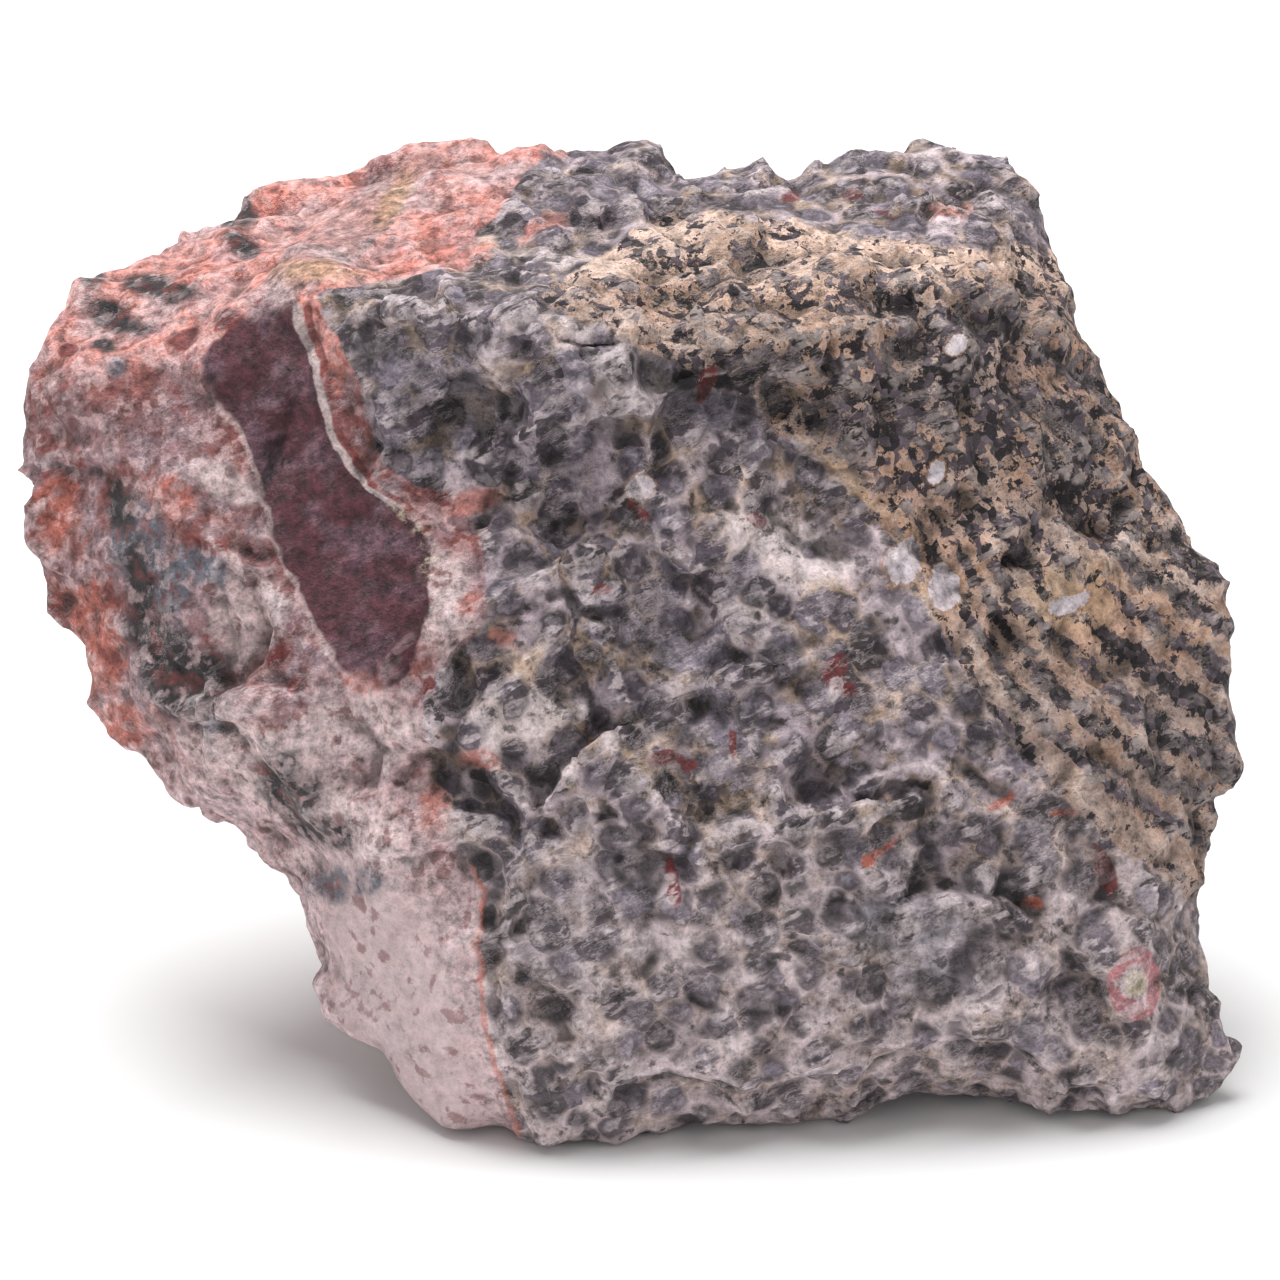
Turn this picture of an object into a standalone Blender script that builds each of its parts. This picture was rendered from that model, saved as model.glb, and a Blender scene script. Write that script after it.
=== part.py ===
"""Leopard skin jasper: one rough, broken piece of stone, about 82 mm wide, as one solid.

Its top is nearly level. Its front is a rough break that is hollow under an overhanging brow and
comes forward again to the foot, and its left end hangs in the air. It stands on a small flat spot
under its middle. All sizes are in millimetres until the mesh is made.
"""

import math

import bmesh
import bpy
from mathutils import Matrix, Vector, noise

NAME = "jasper_stone"
METRES_PER_MM = 0.001

# The stone is measured from an eye in front of it that looks down on it.
EYE_DISTANCE = 356.0
EYE_PITCH = math.radians(20.0)

# A point inside the stone from which every corner is in plain sight.
HEART = Vector((0.0, 9.0, -4.0))

# The faces' longest edge, the rounds of softening, and how far corners are moved out to allow for it.
GRAIN = 2.75
SOFTENING = 2
SOFTENING_ALLOWANCE = 0.6

# The flat spot: its height, middle and reach, how far the stone is pressed down to it, how near
# the underside comes to it, and the clearance that everything outside it keeps.
REST_LEVEL = -29.6
REST_CENTRE = Vector((2.0, 6.0))
REST_RADIUS = 12.0
REST_SINK = 0.9
REST_BAND = 5.0
REST_CLEARANCE = 0.4

# The break's roughness: broad lumps, flat chips that lean and step, and small pits.
LUMP_SIZE = 13.0
LUMP_HEIGHT = 0.9
CHIP_SIZE = 6.0
CHIP_LEAN = 0.16
CHIP_STEP = 0.3
CHIP_LIMIT = 0.55
CHIP_BORDER = 0.33
LEAN_SEED = 7.3
STEP_SEED = 5.1
PIT_SIZE = 3.2
PIT_HEIGHT = 0.3

# Corners sharper than this are thin spikes, and are rounded off in up to so many rounds.
SPIKE_SHARPNESS = 1.45
SPIKE_ROUNDS = 60

# Corner points as the eye sees them: across, up, and depth behind the middle of the stone.
# The outline runs clockwise from the left end, over the top, down the right and along the foot.
OUTLINE_TOP = (
    (-41.0, 16.5, 4.0),
    (-40.2, 20.4, 5.0),
    (-37.8, 24.9, 7.0),
    (-34.8, 26.0, 9.0),
    (-31.8, 26.8, 11.0),
    (-30.6, 28.2, 14.0),
    (-26.8, 29.8, 16.0),
    (-20.6, 30.1, 17.0),
    (-15.8, 32.2, 16.0),
    (-13.0, 33.6, 15.0),
    (-9.8, 34.0, 15.0),
    (-5.5, 33.3, 15.0),
    (1.0, 32.8, 15.0),
    (5.5, 31.9, 15.5),
    (8.5, 31.6, 15.5),
    (12.0, 32.5, 15.0),
    (16.5, 33.3, 14.5),
    (21.6, 34.2, 14.0),
    (24.6, 32.4, 13.0),
    (26.4, 29.6, 11.5),
    (27.4, 27.0, 9.5),
    (29.2, 24.4, 7.0),
)
OUTLINE_RIGHT = (
    (30.0, 19.8, 6.0),
    (33.6, 13.6, 4.0),
    (35.5, 7.2, 3.0),
    (39.2, 3.6, 2.5),
    (39.9, 0.4, 2.5),
    (39.2, -3.0, 2.0),
    (39.8, -8.0, 2.0),
    (39.2, -13.0, 1.5),
    (37.4, -17.6, 1.0),
    (37.4, -23.0, 0.5),
    (40.6, -27.6, 1.0),
    (38.6, -30.6, 1.5),
)
OUTLINE_FOOT = (
    (33.0, -31.8, -0.5),
    (27.5, -32.0, -1.5),
    (24.5, -30.6, -1.0),
    (19.5, -30.3, -1.5),
    (15.0, -32.0, -2.5),
    (9.0, -32.1, -3.0),
    (3.0, -32.2, -3.5),
    (-2.0, -33.3, -5.5),
    (-7.5, -34.0, -6.5),
    (-12.0, -32.5, -4.5),
    (-17.2, -29.4, -2.0),
    (-20.0, -26.2, 0.0),
    (-22.0, -20.8, 1.5),
    (-23.8, -16.4, 3.0),
    (-27.2, -12.4, 4.0),
    (-33.2, -7.7, 4.0),
    (-37.8, -4.6, 4.0),
    (-38.8, 0.4, 4.0),
    (-40.2, 5.8, 4.0),
    (-40.8, 11.0, 4.0),
)

# The edge where the top breaks off to the front. It is nearest to the eye in its middle.
BROW = (
    (-38.0, 17.8, 0.0),
    (-33.5, 17.8, -2.5),
    (-29.8, 19.8, -4.0),
    (-26.4, 21.6, -5.5),
    (-23.0, 23.3, -7.0),
    (-18.0, 22.3, -9.0),
    (-13.0, 21.8, -11.5),
    (-8.5, 20.2, -13.5),
    (-4.5, 19.2, -14.0),
    (-0.5, 20.2, -13.0),
    (4.0, 19.4, -12.5),
    (10.0, 20.0, -10.0),
    (15.0, 21.6, -8.0),
    (19.5, 23.0, -5.5),
    (24.0, 24.0, -2.0),
)

# The level top, and the lower shoulder behind the step on its left.
TOP = (
    (-22.5, 25.4, -1.0),
    (-18.6, 27.4, 6.5),
    (-14.6, 30.6, 11.5),
    (-13.3, 26.6, 2.0),
    (-5.3, 28.8, 6.0),
    (-4.0, 24.4, -4.0),
    (4.0, 29.3, 9.0),
    (5.3, 26.0, 1.0),
    (14.7, 28.6, 6.5),
    (15.3, 24.8, -1.0),
    (22.0, 27.6, 6.0),
)
SHOULDER = (
    (-26.0, 26.6, 10.0),
    (-20.0, 28.6, 13.0),
    (-28.3, 23.4, 3.0),
    (-34.0, 21.8, 3.5),
)

# The left end: a nearly flat break with a lit ridge along its lower edge.
LEFT_FACE = (
    (-35.3, 12.0, -1.5),
    (-30.0, 13.5, -4.5),
    (-34.5, 5.0, -2.0),
    (-28.0, 7.5, -7.0),
    (-34.5, -1.0, -1.5),
    (-30.0, -1.0, -4.5),
    (-25.5, 1.0, -7.5),
    (-31.0, -4.6, -3.5),
    (-23.0, -3.4, -8.5),
)

# The smooth red-brown face, sunk a little below what lies on both its sides.
SLAB = (
    (-25.6, 12.5, -6.2),
    (-21.0, 14.5, -6.2),
    (-17.2, 10.0, -7.4),
    (-20.6, 5.0, -7.6),
    (-13.6, 4.0, -9.4),
    (-17.6, -2.6, -9.8),
)

# The hollow under the brow, and the peak and ledges in the middle of the front.
HOLLOW = (
    (-13.5, 15.5, -8.6),
    (-7.0, 13.6, -9.4),
    (-9.6, 9.0, -8.0),
    (-2.0, 13.0, -9.0),
    (4.0, 13.5, -8.8),
    (10.5, 14.0, -8.0),
    (-5.0, 7.6, -7.4),
)
LEDGES = (
    (0.8, 7.2, -11.0),
    (-4.4, 3.4, -11.4),
    (-12.0, 1.4, -11.6),
    (6.4, 3.4, -9.8),
    (12.5, 6.0, -8.4),
    (0.5, 0.0, -9.0),
    (-7.5, -3.0, -11.0),
    (5.5, -5.5, -10.4),
    (13.0, -2.5, -10.2),
    (17.6, 3.0, -8.4),
)
LOWER_FRONT = (
    (-27.5, -8.0, -4.5),
    (-20.5, -10.5, -7.5),
    (-13.5, -10.0, -10.6),
    (-4.5, -13.0, -11.4),
    (4.5, -14.5, -10.6),
    (13.5, -12.5, -10.4),
    (21.5, -10.0, -9.2),
    (-17.0, -18.5, -7.0),
    (-10.8, -20.5, -11.0),
    (-1.5, -22.5, -10.4),
    (8.5, -22.5, -9.6),
    (17.0, -21.0, -9.2),
    (26.0, -18.5, -8.0),
    (32.5, -22.0, -5.5),
    (-13.5, -27.5, -7.0),
    (-5.5, -28.8, -9.2),
    (4.5, -27.8, -7.8),
    (14.5, -27.0, -7.2),
    (24.5, -26.0, -6.2),
    (33.0, -28.0, -4.0),
)

# The right face, turned away from the eye.
RIGHT_FACE = (
    (15.3, 17.6, -8.2),
    (20.7, 17.4, -6.0),
    (26.0, 15.0, -3.2),
    (17.5, 10.0, -8.0),
    (24.0, 7.0, -6.0),
    (30.0, 7.4, -2.4),
    (21.5, -3.0, -8.6),
    (26.0, -0.8, -6.6),
    (33.0, 0.0, -2.2),
    (30.0, -8.0, -5.6),
    (35.5, -7.0, -1.4),
    (33.6, -14.4, -4.4),
)

# Corner points of the hidden sides, measured straight: across, back and up.
BACK = (
    (-28.0, 24.0, 16.0),
    (-10.0, 28.5, 15.0),
    (8.0, 26.0, 16.0),
    (20.0, 25.5, 13.0),
    (-18.0, 26.0, 5.0),
    (-3.0, 27.0, 2.0),
    (12.0, 24.0, 0.0),
    (25.0, 23.0, 2.0),
    (-25.0, 21.0, -2.0),
    (-11.0, 24.5, -10.0),
    (3.0, 22.5, -12.0),
    (17.0, 23.5, -11.0),
    (-6.0, 18.0, -22.0),
    (7.0, 19.5, -23.0),
    (19.0, 17.5, -23.0),
)
RIGHT_END = (
    (30.0, 20.0, 14.0),
    (34.0, 13.0, 7.0),
    (33.0, 18.0, -4.0),
    (37.0, 11.0, -6.0),
    (29.0, 18.0, -14.0),
    (36.0, 8.0, -16.0),
    (28.5, 12.0, -23.5),
)
LEFT_END = (
    (-36.0, 16.0, 12.0),
    (-37.5, 12.0, 4.0),
    (-32.0, 18.0, 3.0),
    (-31.5, 11.0, -5.0),
    (-24.0, 8.0, -13.0),
    (-17.0, 15.0, -16.0),
)
UNDERSIDE = (
    (-20.0, 2.0, -20.0),
    (-12.5, 6.0, -25.5),
    (-11.0, -4.0, -27.5),
    (-2.0, -7.5, -29.0),
    (10.0, -6.5, -29.0),
    (22.0, -6.0, -28.6),
    (-4.0, 3.0, -29.4),
    (8.0, 4.0, -29.8),
    (19.0, 3.5, -28.8),
    (0.0, 11.0, -28.0),
    (12.0, 12.0, -28.2),
    (31.0, 1.0, -27.0),
)

# Places where the break is smooth: across, up, depth and reach, and how smooth it is there.
SMOOTH_PLACES = (
    (-20.0, 8.0, -7.0, 11.0),
    (-16.0, -24.0, -6.0, 9.0),
)
SMOOTHNESS = 0.75

STONE_COLOUR = (0.245, 0.19, 0.185, 1.0)
STONE_ROUGHNESS = 0.75


def seen(across, up, depth):
    """Place of a corner point that the eye sees this far across and up, at this depth."""
    spread = 1.0 + depth / EYE_DISTANCE
    lift = up * spread
    back = lift * math.sin(EYE_PITCH) + depth * math.cos(EYE_PITCH)
    height = lift * math.cos(EYE_PITCH) - depth * math.sin(EYE_PITCH)
    return Vector((across * spread, back, height))


def corner_points():
    visible = (
        OUTLINE_TOP
        + OUTLINE_RIGHT
        + OUTLINE_FOOT
        + BROW
        + TOP
        + SHOULDER
        + LEFT_FACE
        + SLAB
        + HOLLOW
        + LEDGES
        + LOWER_FRONT
        + RIGHT_FACE
    )
    hidden = BACK + RIGHT_END + LEFT_END + UNDERSIDE
    places = [seen(*point) for point in visible] + [Vector(point) for point in hidden]
    return [place + (place - HEART).normalized() * SOFTENING_ALLOWANCE for place in places]


def stretched_cage():
    """A skin over the corner points: each is joined to its neighbours as seen from the heart."""
    places = corner_points()
    cage = bmesh.new()
    for place in places:
        cage.verts.new((place - HEART).normalized())
    cage.verts.ensure_lookup_table()
    corners = list(cage.verts)
    bmesh.ops.convex_hull(cage, input=corners)
    for corner, place in zip(corners, places):
        corner.co = place
    bmesh.ops.recalc_face_normals(cage, faces=cage.faces)
    return cage


def split_long_edges(work, longest):
    """Halve every edge longer than this until none is left."""
    while True:
        long_edges = [edge for edge in work.edges if edge.calc_length() > longest]
        if not long_edges:
            return
        bmesh.ops.subdivide_edges(work, edges=long_edges, cuts=1)
        bmesh.ops.triangulate(work, faces=work.faces)


def even_skin(work):
    """Cover the cage with small faces of about one size, which also softens its edges."""
    for longest in (4.0 * GRAIN, 2.0 * GRAIN, GRAIN):
        split_long_edges(work, longest)
        bmesh.ops.beautify_fill(work, faces=work.faces, edges=work.edges, method="ANGLE")
    for _ in range(SOFTENING):
        bmesh.ops.smooth_vert(
            work,
            verts=work.verts,
            factor=0.5,
            use_axis_x=True,
            use_axis_y=True,
            use_axis_z=True,
        )


def chip_at(place):
    """Height of the small flat facets that a break leaves, each leaning its own way."""
    distances, centres = noise.voronoi(place / CHIP_SIZE)
    nearest = centres[0]
    direction = noise.cell_vector(nearest * LEAN_SEED) * 2.0 - Vector((1.0, 1.0, 1.0))
    lean = (place - nearest * CHIP_SIZE).dot(direction) * CHIP_LEAN
    step = (noise.cell(nearest * STEP_SEED) * 2.0 - 1.0) * CHIP_STEP
    inside = min(1.0, (distances[1] - distances[0]) / CHIP_BORDER)
    return max(-CHIP_LIMIT, min(CHIP_LIMIT, lean + step)) * inside


def roughness_share(place):
    """1 where the break is rough, and less towards the middle of a smooth place."""
    share = 1.0
    for across, up, depth, reach in SMOOTH_PLACES:
        away = (place - seen(across, up, depth)).length / reach
        share = min(share, 1.0 - SMOOTHNESS * max(0.0, 1.0 - away * away))
    return share


def roughness_at(place):
    """How far the broken surface stands out at a place, by its lumps, chips and pits."""
    lumps = LUMP_HEIGHT * noise.fractal(place / LUMP_SIZE, 1.0, 2.0, 3)
    pits = PIT_HEIGHT * noise.noise(place / PIT_SIZE)
    return roughness_share(place) * (lumps + chip_at(place) + pits)


def roughen(work):
    work.normal_update()
    shifts = [vertex.normal * roughness_at(vertex.co) for vertex in work.verts]
    for vertex, shift in zip(work.verts, shifts):
        vertex.co += shift


def round_off_spikes(work):
    """Draw the few corners that stand out as thin spikes back to the stone around them."""
    for _ in range(SPIKE_ROUNDS):
        work.normal_update()
        sharp = [vertex for vertex in work.verts if vertex.calc_shell_factor() > SPIKE_SHARPNESS]
        if not sharp:
            return
        bmesh.ops.smooth_vert(
            work, verts=sharp, factor=0.5, use_axis_x=True, use_axis_y=True, use_axis_z=True
        )


def flatten_rest(work):
    """Press the middle of the underside down to the rest level and flatten it there."""
    for vertex in work.verts:
        if vertex.co.z > REST_LEVEL + REST_BAND:
            continue
        reach = (vertex.co.xy - REST_CENTRE).length / REST_RADIUS
        vertex.co.z -= REST_SINK * max(0.0, 1.0 - reach * reach)
        clearance = 0.0 if reach < 1.0 else REST_CLEARANCE
        vertex.co.z = max(vertex.co.z, REST_LEVEL + clearance)


def centre_on_rest(work):
    """Put the origin under the middle of the stone's box, on the level that it rests on."""
    low = Vector(min(vertex.co[axis] for vertex in work.verts) for axis in range(3))
    high = Vector(max(vertex.co[axis] for vertex in work.verts) for axis in range(3))
    middle = (low + high) / 2.0
    shift = Vector((-middle.x, -middle.y, -low.z))
    bmesh.ops.translate(work, verts=work.verts, vec=shift)


def stone_object(collection):
    work = stretched_cage()
    even_skin(work)
    roughen(work)
    round_off_spikes(work)
    flatten_rest(work)
    centre_on_rest(work)
    bmesh.ops.transform(work, matrix=Matrix.Scale(METRES_PER_MM, 4), verts=work.verts)
    bmesh.ops.recalc_face_normals(work, faces=work.faces)
    mesh = bpy.data.meshes.new(NAME)
    work.to_mesh(mesh)
    work.free()
    stone = bpy.data.objects.new(NAME, mesh)
    collection.objects.link(stone)
    return stone


def stone_material():
    material = bpy.data.materials.new("jasper")
    material.use_nodes = True
    shader = material.node_tree.nodes["Principled BSDF"]
    shader.inputs["Base Color"].default_value = STONE_COLOUR
    shader.inputs["Roughness"].default_value = STONE_ROUGHNESS
    shader.inputs["Metallic"].default_value = 0.0
    return material


def main():
    for leftover in list(bpy.data.objects):
        bpy.data.objects.remove(leftover, do_unlink=True)
    collection = bpy.data.collections.new("leopard_skin_jasper")
    bpy.context.scene.collection.children.link(collection)
    stone = stone_object(collection)
    stone.data.materials.append(stone_material())


main()
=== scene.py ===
"""Leopard skin jasper: the looks of one rough, broken piece, about 82 mm wide.

A pink zone on the left meets a red-brown slab, a vein runs down the slab's right side, grey orbs
in a cream matrix fill the middle, and the right is tan with black grains in bands. All of it is
laid out in the stone's own space, in millimetres, as seen from an eye in front of it.
"""

import math

import bpy
from mathutils import Euler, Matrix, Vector


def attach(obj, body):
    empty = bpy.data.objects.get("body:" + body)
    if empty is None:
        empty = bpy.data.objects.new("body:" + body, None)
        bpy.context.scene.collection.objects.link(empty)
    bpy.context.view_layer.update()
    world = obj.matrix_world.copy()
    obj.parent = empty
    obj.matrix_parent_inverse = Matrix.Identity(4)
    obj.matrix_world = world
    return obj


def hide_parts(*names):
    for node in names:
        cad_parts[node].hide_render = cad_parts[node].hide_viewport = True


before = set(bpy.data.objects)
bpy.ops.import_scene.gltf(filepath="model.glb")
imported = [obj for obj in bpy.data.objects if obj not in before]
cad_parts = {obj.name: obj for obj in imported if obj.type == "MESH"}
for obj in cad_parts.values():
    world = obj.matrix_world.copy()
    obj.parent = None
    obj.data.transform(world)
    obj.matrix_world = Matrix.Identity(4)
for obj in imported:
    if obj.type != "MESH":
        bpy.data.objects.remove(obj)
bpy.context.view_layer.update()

MM = 0.001
STONE_NODE = "jasper_stone"

# The eye in front of the stone. Its aim lies inside the stone, at this place in the frame.
EYE_DISTANCE = 356.0
EYE_PITCH = math.radians(20.0)
EYE_AIM = Vector((0.77, -5.03, 29.6))
VIEW_WIDTH = 85.33
SENSOR_WIDTH = 36.0

# Lines across the stone as (up, across) points, in millimetres.
PINK_EDGE = (
    (-40.0, -6.5),
    (-33.3, -8.0),
    (-28.0, -9.6),
    (-24.0, -10.7),
    (-16.0, -10.8),
    (-12.7, -13.0),
    (-10.0, -14.0),
    (-4.0, -14.3),
    (-1.0, -12.6),
    (2.5, -10.2),
    (6.5, -10.6),
    (9.0, -12.6),
    (12.5, -17.6),
    (16.0, -18.4),
    (20.5, -20.4),
    (22.7, -21.6),
    (24.2, -15.0),
    (26.0, -12.0),
    (30.0, -8.4),
    (33.5, -6.0),
    (40.0, -4.0),
)
SLAB_LEFT = (
    (-40.0, -14.0),
    (-3.6, -17.2),
    (-2.4, -19.4),
    (0.0, -21.0),
    (4.0, -23.3),
    (12.0, -26.0),
    (18.5, -29.0),
    (21.0, -27.5),
    (22.8, -25.2),
    (25.0, -24.6),
    (28.0, -20.6),
    (31.0, -17.6),
    (34.0, -16.0),
    (40.0, -14.0),
)
VEIN_LINE = (
    (-40.0, -19.0),
    (-3.6, -17.4),
    (-2.4, -15.8),
    (-0.6, -14.9),
    (2.7, -14.2),
    (5.3, -14.0),
    (9.3, -16.8),
    (10.7, -18.7),
    (13.3, -20.3),
    (16.3, -21.2),
    (19.3, -22.0),
    (22.3, -23.1),
    (25.0, -19.6),
    (28.0, -16.4),
    (31.0, -13.8),
    (34.0, -11.0),
    (40.0, -9.0),
)

# The tan zone's lower and upper edges as (across, up) points.
TAN_LOWER = (
    (-45.0, 30.0),
    (-6.0, 22.4),
    (0.7, 19.0),
    (8.0, 15.0),
    (15.3, 8.6),
    (20.7, -0.4),
    (27.3, -9.8),
    (37.3, -17.4),
    (45.0, -22.0),
)
TAN_UPPER = (
    (-45.0, 20.0),
    (-8.0, 22.0),
    (-2.7, 26.0),
    (4.0, 28.4),
    (12.0, 27.4),
    (20.0, 26.4),
    (30.0, 26.0),
    (45.0, 25.0),
)

# Spots of one colour each, as across, up, depth, half width, half height and turn in degrees.
RED_FLAKES = (
    (13.0, -2.0, -10.4, 0.7, 1.3, -32.0),
    (13.9, -3.3, -10.4, 0.5, 0.9, 40.0),
    (2.3, -16.0, -10.5, 0.42, 2.0, 8.0),
    (6.3, -6.7, -10.5, 0.3, 1.2, 0.0),
    (1.5, -7.8, -10.0, 1.1, 0.45, 20.0),
    (3.0, -8.2, -10.0, 0.6, 0.5, 0.0),
    (7.8, 8.0, -9.5, 0.7, 0.45, -20.0),
    (4.4, 17.0, -10.5, 0.5, 1.5, -28.0),
    (-2.7, 3.4, -10.5, 0.8, 0.4, 0.0),
    (31.0, -15.6, -7.0, 0.7, 1.9, 14.0),
    (0.0, 8.6, -10.5, 1.3, 0.35, -35.0),
    (-25.2, 5.4, -6.5, 1.9, 1.0, -48.0),
    (-23.9, -1.2, -8.4, 0.8, 1.3, -30.0),
    (-22.9, -3.0, -8.6, 0.8, 0.5, 0.0),
    (-38.0, 19.4, 2.0, 0.8, 0.5, 0.0),
    (-30.4, 20.2, -3.0, 1.2, 0.6, 30.0),
    (-27.6, 21.2, -4.0, 1.0, 0.6, 30.0),
    (-38.9, 2.2, 2.0, 0.5, 0.3, 0.0),
    (-13.6, 9.6, -8.6, 1.1, 0.5, -30.0),
    (-14.0, -3.0, -10.6, 0.5, 0.9, 0.0),
    (14.3, 29.7, 8.0, 0.7, 0.35, 0.0),
    (16.3, 28.4, 6.0, 0.9, 0.3, -10.0),
    (10.0, 29.6, 8.0, 0.7, 0.4, 0.0),
)
ORANGE_FLAKES = (
    (16.0, -14.0, -10.0, 1.6, 0.35, 36.0),
    (15.2, -14.8, -10.0, 0.5, 0.5, 0.0),
    (24.2, -10.6, -8.2, 1.2, 0.32, 32.0),
    (28.4, -11.4, -6.4, 1.3, 0.35, -6.0),
    (11.4, -5.6, -10.0, 0.5, 0.3, 40.0),
    (26.1, -17.4, -8.2, 0.8, 0.4, 0.0),
    (33.4, -25.0, -5.0, 0.6, 0.3, 40.0),
)
SALMON_PATCHES = (
    (-11.2, 9.2, -8.6, 2.2, 0.8, 22.0),
    (-20.4, 18.0, -8.0, 0.9, 1.5, 10.0),
    (-13.6, -11.4, -10.8, 1.0, 2.0, 0.0),
    (-10.8, -8.0, -11.4, 1.6, 0.7, -10.0),
    (-11.4, 2.4, -11.0, 1.0, 0.6, 30.0),
    (-9.4, 0.2, -11.2, 1.2, 0.7, 0.0),
    (-12.0, 25.4, 1.0, 2.4, 1.0, 20.0),
    (-7.6, 32.6, 13.0, 3.0, 0.9, 0.0),
    (20.8, 28.6, 7.0, 1.4, 0.6, 0.0),
    (-6.8, 27.4, 4.0, 2.0, 0.8, 20.0),
    (-36.4, 0.0, 0.0, 2.0, 4.0, 8.0),
    (-35.0, -5.6, 0.0, 2.2, 1.6, -20.0),
    (-38.6, 8.6, 2.0, 1.6, 2.6, 0.0),
    (-31.4, 9.4, -4.0, 2.0, 1.5, -10.0),
    (-18.6, -2.6, -8.0, 1.4, 0.8, 0.0),
)
CREAM_PATCHES = (
    (-26.5, -7.4, -6.0, 5.6, 2.2, -6.0),
    (-24.0, -9.2, -6.0, 5.0, 2.6, -20.0),
    (-28.6, -4.6, -5.0, 2.6, 1.2, -14.0),
    (-8.0, -5.4, -11.0, 4.0, 2.2, 20.0),
    (-26.0, 2.4, -7.5, 2.6, 4.4, -14.0),
    (-27.8, 10.6, -6.0, 2.8, 1.1, -30.0),
    (-13.2, 2.6, -11.0, 2.2, 3.4, 0.0),
    (9.4, 6.4, -9.4, 4.6, 2.4, -20.0),
    (-21.0, -6.0, -8.0, 3.0, 1.6, 20.0),
    (-18.4, -12.6, -8.0, 5.0, 1.6, -30.0),
    (-17.4, -5.6, -9.0, 3.0, 2.6, 0.0),
    (-4.0, 25.2, -2.0, 5.2, 0.75, -9.0),
    (-1.0, 20.3, -12.0, 5.0, 0.9, 0.0),
    (-1.0, 17.2, -11.0, 2.4, 2.0, 0.0),
    (5.0, 20.0, -11.0, 3.0, 0.8, 6.0),
    (0.0, 10.1, -10.4, 0.75, 0.8, 28.0),
    (7.4, 2.0, -10.0, 2.0, 0.8, -10.0),
    (6.0, 0.0, -10.0, 1.6, 0.6, 20.0),
    (33.4, -13.4, -4.4, 5.2, 0.9, -38.0),
    (28.4, -9.2, -6.0, 2.6, 0.8, -48.0),
    (23.2, -1.8, -8.4, 3.2, 0.5, -58.0),
    (28.0, 2.3, -4.0, 1.4, 0.55, 14.0),
    (17.6, 5.2, -8.2, 1.2, 1.7, -20.0),
    (20.0, 2.9, -7.4, 1.1, 1.2, 0.0),
    (-1.7, -6.8, -11.0, 5.8, 0.28, 29.5),
    (-2.7, 15.3, -10.5, 3.0, 0.3, 26.5),
)
BLUE_GREY_PATCHES = (
    (-33.4, 6.6, -3.5, 2.0, 2.8, 0.0),
    (-31.6, 3.6, -3.8, 2.2, 2.4, 0.0),
    (-29.0, 4.8, -5.4, 2.2, 1.1, -30.0),
    (-35.0, 18.4, 0.0, 0.7, 0.8, 0.0),
    (-28.4, -5.6, -5.0, 1.0, 0.6, -14.0),
    (-19.5, -16.2, -6.0, 3.6, 1.1, 4.0),
    (17.4, -18.8, -9.0, 4.6, 2.2, 0.0),
    (20.0, -22.6, -9.0, 3.0, 1.6, 0.0),
)
DARK_PATCHES = (
    (-34.6, 9.0, -3.0, 1.0, 2.4, 10.0),
    (-33.4, 4.0, -3.4, 0.9, 2.6, 12.0),
    (-32.8, 0.6, -3.6, 1.6, 2.0, 0.0),
    (-31.2, -2.2, -4.0, 2.6, 3.0, 18.0),
    (-28.8, -2.6, -5.0, 1.6, 1.8, 0.0),
    (-23.4, -9.8, -7.0, 1.9, 2.9, 24.0),
    (-21.4, -12.8, -7.4, 2.6, 1.1, -10.0),
    (-34.8, 21.4, 3.0, 2.2, 1.0, -24.0),
    (-31.6, 23.4, 4.0, 3.4, 0.9, -14.0),
    (-26.9, 28.4, 14.0, 1.8, 1.4, -60.0),
    (-36.6, 24.2, 8.0, 1.0, 0.8, 0.0),
    (-26.4, 26.2, 9.0, 1.6, 0.7, -30.0),
    (-35.6, 19.8, 1.0, 0.9, 0.5, 0.0),
    (25.3, 5.3, -6.0, 1.1, 0.6, 0.0),
    (-5.7, -22.8, -10.8, 2.4, 2.0, 0.0),
)
OCHRE_STAINS = (
    (-21.2, 24.5, -2.0, 3.0, 0.8, 0.0),
    (-16.4, 29.4, 9.0, 0.8, 2.6, -28.0),
    (18.2, 33.0, 14.0, 1.6, 0.6, 0.0),
    (17.0, 31.4, 11.0, 0.6, 0.4, 0.0),
    (-24.4, -2.0, -8.0, 0.4, 0.3, 0.0),
    (10.6, 0.9, -10.0, 1.3, 0.7, -20.0),
    (28.4, 3.0, -4.0, 3.6, 2.2, 14.0),
    (14.0, 10.6, -8.4, 3.4, 0.6, -40.0),
    (18.4, 3.4, -8.0, 2.6, 0.5, -60.0),
)
MAUVE_FACE = ((-16.0, -24.0, -5.0, 7.0, 12.0, 14.0),)
RING_EYE = ((33.0, -22.9, -5.2, 1.9, 2.8, 0.0),)
BIG_ORBS = (
    (0.3, -15.1, -10.6, 2.0, 1.8, 0.0),
    (22.4, -22.1, -8.4, 2.2, 2.0, 0.0),
    (8.1, -24.0, -10.4, 1.8, 1.4, 0.0),
    (19.9, -12.7, -9.0, 1.6, 1.5, 0.0),
    (25.2, -17.3, -8.0, 1.5, 2.0, 20.0),
    (-10.4, -20.4, -10.8, 1.6, 1.8, 0.0),
    (13.6, -18.6, -9.6, 1.7, 1.3, -20.0),
)
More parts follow.
